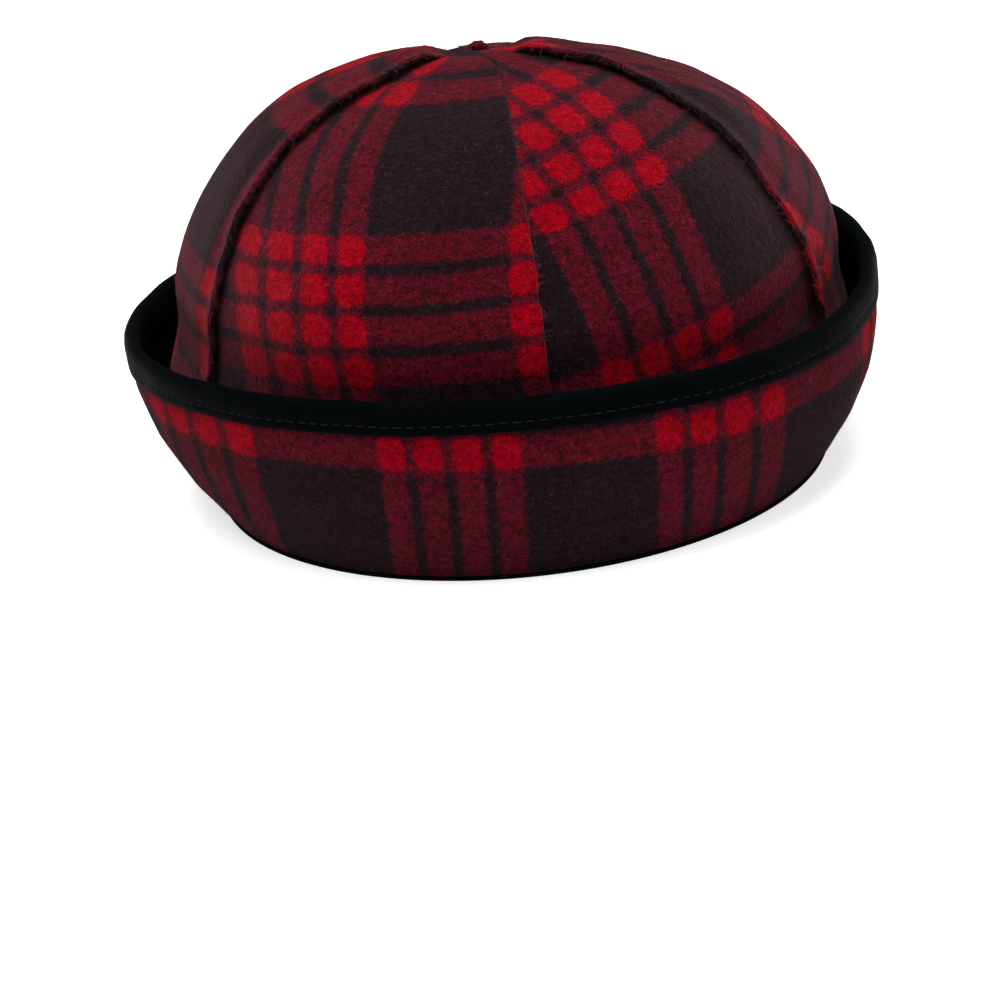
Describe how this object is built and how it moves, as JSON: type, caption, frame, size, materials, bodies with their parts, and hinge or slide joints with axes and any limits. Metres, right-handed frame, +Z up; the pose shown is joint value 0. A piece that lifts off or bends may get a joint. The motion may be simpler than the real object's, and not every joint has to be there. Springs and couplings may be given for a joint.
{
  "type": "earflap cap",
  "caption": "Brimless panelled wool cap in a red and black plaid, with lapped raw-edge seams and a deep tape-bound earflap band turned up as a cuff.",
  "frame": {"origin": "middle of the footprint on the surface that the cap stands on", "axes": "+Z up, -Y towards the front seam that the picture shows, +X to the right in the picture"},
  "size_m": [0.2162, 0.2282, 0.1225],
  "materials": {
    "plaid_wool": "felted red, burgundy and charcoal plaid wool",
    "black_lining": "smooth black lining cloth",
    "binding_tape": "black woven binding tape",
    "head_band_cloth": "black head band cloth"
  },
  "bodies": {
    "root": {"crown_panel_front_left": "plaid_wool", "crown_panel_front_right": "plaid_wool", "crown_panel_side_left": "plaid_wool", "crown_panel_side_right": "plaid_wool", "crown_panel_back_left": "plaid_wool", "crown_panel_back_right": "plaid_wool", "apex_tack": "plaid_wool", "earflap_band": "plaid_wool", "earflap_lining": "black_lining", "edge_binding": "binding_tape", "head_band": "head_band_cloth"}
  },
  "joints": []
}
